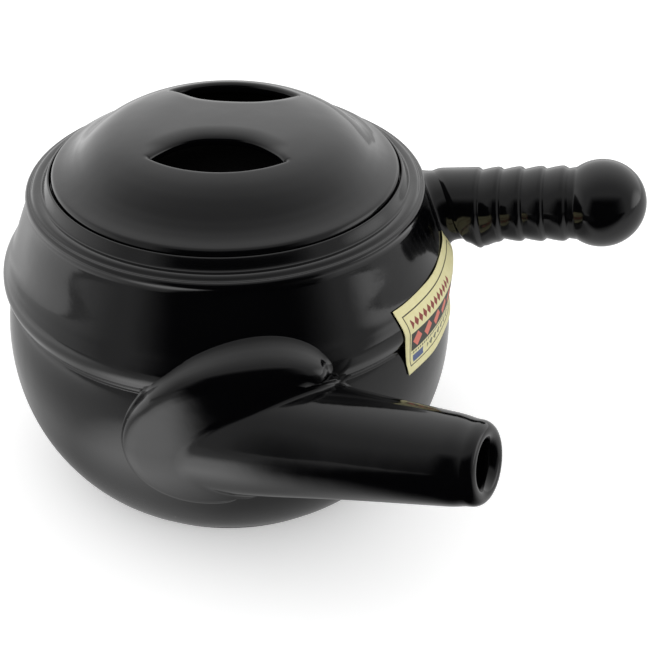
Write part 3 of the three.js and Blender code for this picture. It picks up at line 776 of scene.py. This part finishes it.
# Lid: jiggered flange and dome. Two lenses are cut out of the dome while it is leather hard and their rims
# are rolled with a finger, which leaves a bridge to lift the lid by. It lies loose on its seat.
lid_gap = 0.3 * mm
lid_bottom = seat_height + lid_gap
lid_radius = 75.4 * mm
dome_radius = 63.2 * mm
dome_rise = 25.4 * mm
lid_thickness = 5.2 * mm
least_thickness = 0.5 * mm
opening_reach = 41.8 * mm
rim_rounding = 2.6 * mm
rim_under = 1.4 * mm
bridge_drop = 3.2 * mm
bridge_thickening = 0.6 * mm
bridge_fade = 9 * mm
bridge_share = 0.72
widest_roll = 8 * mm
flange_inset = 5.8 * mm
flange_step = 0.9 * mm
dome_steps = 12
lid_sides = 288
rim_grid_share, rim_rows, dome_rows, wall_rows = 0.3, 13, 21, 3

# The dome's outline in shares of its radius and rise, and the flange's as offsets from the lid's lower edge.
dome_shares = np.array([
    [1.05, 0.335], [1.0, 0.43], [0.94, 0.565], [0.87, 0.7], [0.78, 0.82], [0.67, 0.9], [0.5, 0.965],
    [0.26, 0.99], [0, 1.0], [-0.26, 0.99],
])
flange_offsets = np.array([[-8.8, 8.35], [-5.2, 6.4], [-1.0, 4.9], [0, 3], [0, 0.9], [-1.2, 0]]) * mm
flange_roundings = np.array([1.6, 1.7, 0.9, 0.9, 0.7, 0.7, 0.6]) * mm

# Each lens: how far the bridge reaches from the lid's middle, half the lens's length, its turn, the width of
# the bridge's roll, and the side of the lid on which it lies.
lenses = [
    (21.3 * mm, 26.8 * mm, -4.5 * degree, 6 * mm, 0),
    (14.6 * mm, 27.4 * mm, -2.2 * degree, widest_roll, math.pi),
]
dome_points = dome_shares * np.array([dome_radius, dome_rise]) + np.array([0, lid_bottom])
dome_curve = smooth_line(dome_points, dome_steps)[::-1]


def dome_height(radius):
    """The dome's height at a radius from its axis, read off its smooth outline."""
    return np.interp(radius, dome_curve[:, 0], dome_curve[:, 1])


def lens_line(count, bridge_half_width, half_length, turn_by):
    """The opening's edge: an arc about the lid's middle from corner to corner, and back by the curve that
    waists the bridge, half width + sag times the share of the half length to the power 2.6. All turned."""
    corner_reach = math.sqrt(opening_reach ** 2 - half_length ** 2)
    outer = math.atan2(corner_reach, half_length)
    far = np.linspace(outer, math.pi - outer, count // 2, endpoint=False)
    near = np.linspace(-1, 1, count // 2, endpoint=False)
    waist = bridge_half_width + (corner_reach - bridge_half_width) * np.abs(near) ** 2.6
    line = np.concatenate([
        opening_reach * np.stack([np.cos(far), np.sin(far)], axis=1),
        np.stack([half_length * near, waist], axis=1),
    ])
    cos, sin = math.cos(turn_by), math.sin(turn_by)
    return line @ np.array([[cos, sin], [-sin, cos]])


def half_disc(count):
    """The edge of half a disc: half the circle, then back along the diameter."""
    half = np.linspace(0, math.pi, count // 2, endpoint=False)
    across = np.linspace(-1, 1, count // 2, endpoint=False)
    return dome_radius * np.concatenate([
        np.stack([np.cos(half), np.sin(half)], axis=1), np.stack([across, 0 * across], axis=1)])


def rolled(distance, width, depth):
    """The drop of a rolled rim: a quarter ellipse of the rim's width and depth next to the edge."""
    left = np.clip(1 - distance / width, 0, 1)
    return depth * (1 - np.sqrt(1 - left ** 2))


def half_lid(bridge_half_width, half_length, turn_by, bridge_roll, angle):
    """Half the domed lid, over a grid between its opening and its edge: the dome's height, less the drop of
    the rim, which is wide and soft on the bridge and tight elsewhere, and the same less the clay's thickness
    below. The grid's rows lie closer together in the rim."""
    lens = lens_line(lid_sides, bridge_half_width, half_length, turn_by)
    shares = np.concatenate([
        np.linspace(0, 1, rim_rows)[:-1] ** 1.3 * rim_grid_share,
        rim_grid_share + (1 - rim_grid_share) * np.linspace(0, 1, dome_rows) ** 1.1])
    plan = lens + shares[:, None, None] * (half_disc(lid_sides) - lens)
    distance = np.linalg.norm(plan[:, :, None] - lens[None, None], axis=-1).min(axis=-1)
    reach = np.linalg.norm(plan, axis=-1)
    inwards = np.clip((opening_reach * bridge_share - plan[..., 1]) / bridge_fade, 0, 1)
    soft = inwards ** 2 * (3 - 2 * inwards)
    width = rim_rounding + (bridge_roll - rim_rounding) * soft
    depth = rim_rounding + (bridge_drop - rim_rounding) * soft * (bridge_roll - rim_rounding) / widest_roll
    top = dome_height(reach) - rolled(distance, width, depth)
    under = dome_height(reach) - lid_thickness - bridge_thickening * soft
    under = np.minimum(under + rolled(distance, rim_under, rim_under), top - least_thickness)
    lens_wall = top[0] + (under[0] - top[0]) * np.linspace(0, 1, wall_rows + 2)[1:-1, None]
    heights = np.concatenate([top[::-1], lens_wall, under])
    plans = np.concatenate([plan[::-1], np.repeat(plan[:1], wall_rows, axis=0), plan])
    cos, sin = math.cos(angle), math.sin(angle)
    right, back = plans[..., 0], plans[..., 1]
    return np.stack([cos * right - sin * back, sin * right + cos * back, heights], axis=-1)


flange_line = rounded_line([
    (dome_radius, dome_height(dome_radius)), *(flange_offsets + np.array([lid_radius, lid_bottom])),
    (mouth_radius - flange_inset, lid_bottom), (dome_radius, dome_height(dome_radius) - lid_thickness),
], flange_roundings)
lid_halves = [half_lid(*lens) for lens in lenses]
flange = turned(dense(flange_line, flange_step), lid_sides)
lid = closed_mesh("glazed_lid", [(grid, False, True) for grid in (*lid_halves, flange)], black_glaze)
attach(lid, "lid")
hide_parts("lid")

# Ring under the lid: a coil of clay thrown onto the flange, which keeps the lid from sliding out of the
# mouth. It is dipped in the same black glaze as the lid.
ring_gap = 1.4 * mm
ring_thickness = 4.4 * mm
ring_height = 8.3 * mm
ring_bevel = 1.1 * mm
ring_step = 1 * mm
ring_roundings = np.array([0.6, 0.5, 0.5, 0.2]) * mm

ring_outer = mouth_radius - ring_gap
ring_inner = ring_outer - ring_thickness
ring_bottom = lid_bottom - ring_height
ring_line = rounded_line([
    (ring_inner, lid_bottom), (ring_inner, ring_bottom), (ring_outer - ring_bevel, ring_bottom),
    (ring_outer, ring_bottom + ring_bevel), (ring_outer, lid_bottom), (ring_inner, lid_bottom),
], ring_roundings)
ring_surface = turned(dense(ring_line, ring_step), lid_sides)
lid_ring = closed_mesh("glazed_lid_ring", [(ring_surface, False, True)], black_glaze)
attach(lid_ring, "lid")
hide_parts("lid_ring")

# Well: a closed bowl luted under the dome, which leaves room for finger and thumb below the bridge. It is
# coated with black slip that isn't glazed, so it is dull and shows no reflection through the openings.
well_radius = 50 * mm
well_thickness = 4 * mm
well_depth = 14 * mm
well_gap = 1.3 * mm
well_rim_rise = 1.2 * mm
well_step = 1.2 * mm
well_roundings = np.array([0.4, 0.4]) * mm
well_shares = np.array([[0, 0], [0.5, 0.0], [0.7, 0.03], [0.88, 0.13], [0.97, 0.34], [1, 0.6]])

well_bottom = lid_bottom - well_depth
well_top = dome_height(well_radius) - lid_thickness - well_gap
well_out = smooth_line(well_shares * np.array([well_radius, well_depth]) + np.array([0, well_bottom]))
inner_radius = well_radius - well_thickness
inner_bottom = np.array([0, well_bottom + well_thickness])
well_in = smooth_line(well_shares * np.array([inner_radius, well_depth]) + inner_bottom)
well_rim = rounded_line([
    well_out[-1], (well_radius, well_top), (inner_radius, well_top + well_rim_rise), well_in[-1],
], well_roundings)
well_line = dense(np.concatenate([well_out[:-1], well_rim, well_in[::-1][1:]]), well_step)
inner_slip = add_glaze("black_slip_unpolished", "#020202", roughness=0.6, wave_depth=0.2 * mm, index=1.2)
lid_well = closed_mesh("glazed_lid_well", [(turned(well_line, lid_sides), False, True)], inner_slip)
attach(lid_well, "lid")
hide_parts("lid_well")

# Label: a rectangle of uncoated cream paper, pasted across the waist so that it bridges the crease, with a
# slight wave along its edges. It is printed with a thin frame, plain bands and rows of diamonds.
label_azimuth = -19.3 * degree
label_height = seam_height + 4 * mm
label_length = 73 * mm
label_width = 33.4 * mm
label_tilt = 0.5 * degree
label_skew = -0.2
label_lift = 0.3 * mm
label_thickness = 0.25 * mm
label_wave = 0.18 * mm
wave_along, wave_up, wave_bend = 5 * mm, 9 * mm, 2.2
label_columns, label_rows = 121, 61
bridge_below, bridge_above = 6 * mm, 7.9 * mm


def wrap_radius(height):
    """The radius of paper laid round the pot: read off the pot's outline without the part from the bridge's
    lower end to its upper end, so that the paper crosses the crease in a straight line."""
    radius, level = outer_line.T
    outside = (level < seam_height - bridge_below) | (level > seam_height + bridge_above)
    return np.interp(height, level[outside], radius[outside])


def label_faces(columns, rows):
    """The label's outer and inner face over a grid of shares along and up: bent round the pot at its tilt,
    its left end skewed by the third power of the share there, with a wave that grows towards the edges as
    the fourth power of the share of the way out."""
    along = label_length * (np.linspace(0, 1, columns)[None] - 0.5)
    up = label_width * (np.linspace(0, 1, rows)[:, None] - 0.5)
    height = label_height + along * math.sin(label_tilt) + up * math.cos(label_tilt)
    left_end = np.clip(0.5 - along / label_length, 0, 1) ** 3
    side = along * math.cos(label_tilt) - up * math.sin(label_tilt) + label_skew * up * left_end
    out = np.maximum(np.abs(2 * along / label_length), np.abs(2 * up / label_width))
    wave = label_wave * (1 + np.sin(along / wave_along + wave_bend * np.sin(up / wave_up))) * out ** 4
    outer = on_wall(label_azimuth, side, height, 0, label_lift + label_thickness + wave, wrap_radius)
    inner = on_wall(label_azimuth, side, height, 0, label_lift + wave, wrap_radius)
    return outer, inner


def print_place_at(place):
    """The place on the flat sheet in millimetres: along it and up it from its middle."""
    side, height = side_and_height(place, label_azimuth)
    height = height - label_height
    along = side * math.cos(label_tilt) + height * math.sin(label_tilt)
    up = height * math.cos(label_tilt) - side * math.sin(label_tilt)
    left_end = np.clip(0.5 - along / label_length, 0, 1) ** 3
    return np.stack([along - label_skew * up * left_end, up], axis=1) / mm


paper, tree = new_material("printed_cream_paper")
outer_face, inner_face = label_faces(label_columns, label_rows)
label_edges = [
    np.stack([outer_face[0], inner_face[0]]), np.stack([outer_face[-1], inner_face[-1]]),
    np.stack([outer_face[:, 0], inner_face[:, 0]]), np.stack([outer_face[:, -1], inner_face[:, -1]]),
]
label_grids = [(grid, False, False) for grid in [outer_face, inner_face, *label_edges]]
label = closed_mesh("pasted_label", label_grids, paper)
add_uv(label, "print", print_place_at)
print_place = node(tree, "ShaderNodeUVMap", {"uv_map": "print"})
print_axes = node(tree, "ShaderNodeSeparateXYZ", Vector=print_place)
print_along, print_up = print_axes.outputs["X"], print_axes.outputs["Y"]


def block(left, right, bottom, top):
    """1 inside a rectangle of the sheet, else 0: the product of the tests against its four sides."""
    inside = 1.0
    for test, axis, edge in (
            ("GREATER_THAN", print_along, left), ("LESS_THAN", print_along, right),
            ("GREATER_THAN", print_up, bottom), ("LESS_THAN", print_up, top)):
        within = node(tree, "ShaderNodeMath", {"operation": test}, i0=axis, i1=edge)
        inside = node(tree, "ShaderNodeMath", times, i0=within, i1=inside)
    return inside


def diamonds(pitch, row, half_width, half_height):
    """1 inside a row of diamonds: the shares of the distances across and up sum to less than 1."""
    off_middle = node(tree, "ShaderNodeMath", {"operation": "PINGPONG"}, i0=print_along, i1=pitch / 2)
    off_row = node(tree, "ShaderNodeMath", {"operation": "SUBTRACT"}, i0=print_up, i1=row)
    off_row = node(tree, "ShaderNodeMath", {"operation": "ABSOLUTE"}, i0=off_row)
    across = node(tree, "ShaderNodeMath", {"operation": "DIVIDE"}, i0=off_middle, i1=half_width)
    up = node(tree, "ShaderNodeMath", {"operation": "DIVIDE"}, i0=off_row, i1=half_height)
    both = node(tree, "ShaderNodeMath", plus, i0=across, i1=up)
    return node(tree, "ShaderNodeMath", {"operation": "LESS_THAN"}, i0=both, i1=1)


# Uncoated paper: dull, and faintly clouded by its fibres, which are drawn about 3 mm wide to show. The inks
# lie flat on it in the order of this table, whose places are millimetres from the sheet's middle.
paper_roughness = 0.55
fibre_scale = 0.35
frame_line = node(tree, "ShaderNodeMath", {"operation": "SUBTRACT"},
                  i0=block(-33.6, 33.6, -13.4, 13.4), i1=block(-33.1, 33.1, -12.9, 12.9))
prints = [
    (frame_line, 1, "#4a4636"),
    (block(-32.4, 33.2, -5.6, 4.6), 1, "#3c3f37"),
    (block(-31.5, 32, -6, 5), diamonds(9.2, -0.4, 3.6, 4.2), "#df7a68"),
    (block(-32, 32.8, -8.2, -5.8), diamonds(1.9, -7.0, 0.75, 0.9), "#6b6a55"),
    (block(-31, 8, 6, 11.5), diamonds(3.4, 8.6, 1.5, 2.2), "#8d4038"),
    (block(-31, -22, -12.2, -8.6), 1, "#56648c"),
    (block(-18, 30, -12.4, -8.4), diamonds(4.6, -10.4, 2.0, 1.7), "#7d7f64"),
]
fibre = node(tree, "ShaderNodeTexNoise", Vector=print_place, Scale=fibre_scale, Detail=4)
ink = node(tree, "ShaderNodeMix", {"data_type": "RGBA"}, Factor=fibre,
           i6=linear("#ddd69a"), i7=linear("#ece6b8"))
for area, pattern, colour in prints:
    mask = node(tree, "ShaderNodeMath", times, i0=area, i1=pattern)
    ink = node(tree, "ShaderNodeMix", {"data_type": "RGBA"}, Factor=mask,
               i6=ink.outputs[2], i7=linear(colour))
paper_shader = node(tree, "ShaderNodeBsdfPrincipled", Base_Color=ink.outputs[2], Roughness=paper_roughness)
node(tree, "ShaderNodeOutputMaterial", Surface=paper_shader)
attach(label, "pot")
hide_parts("paper_label")
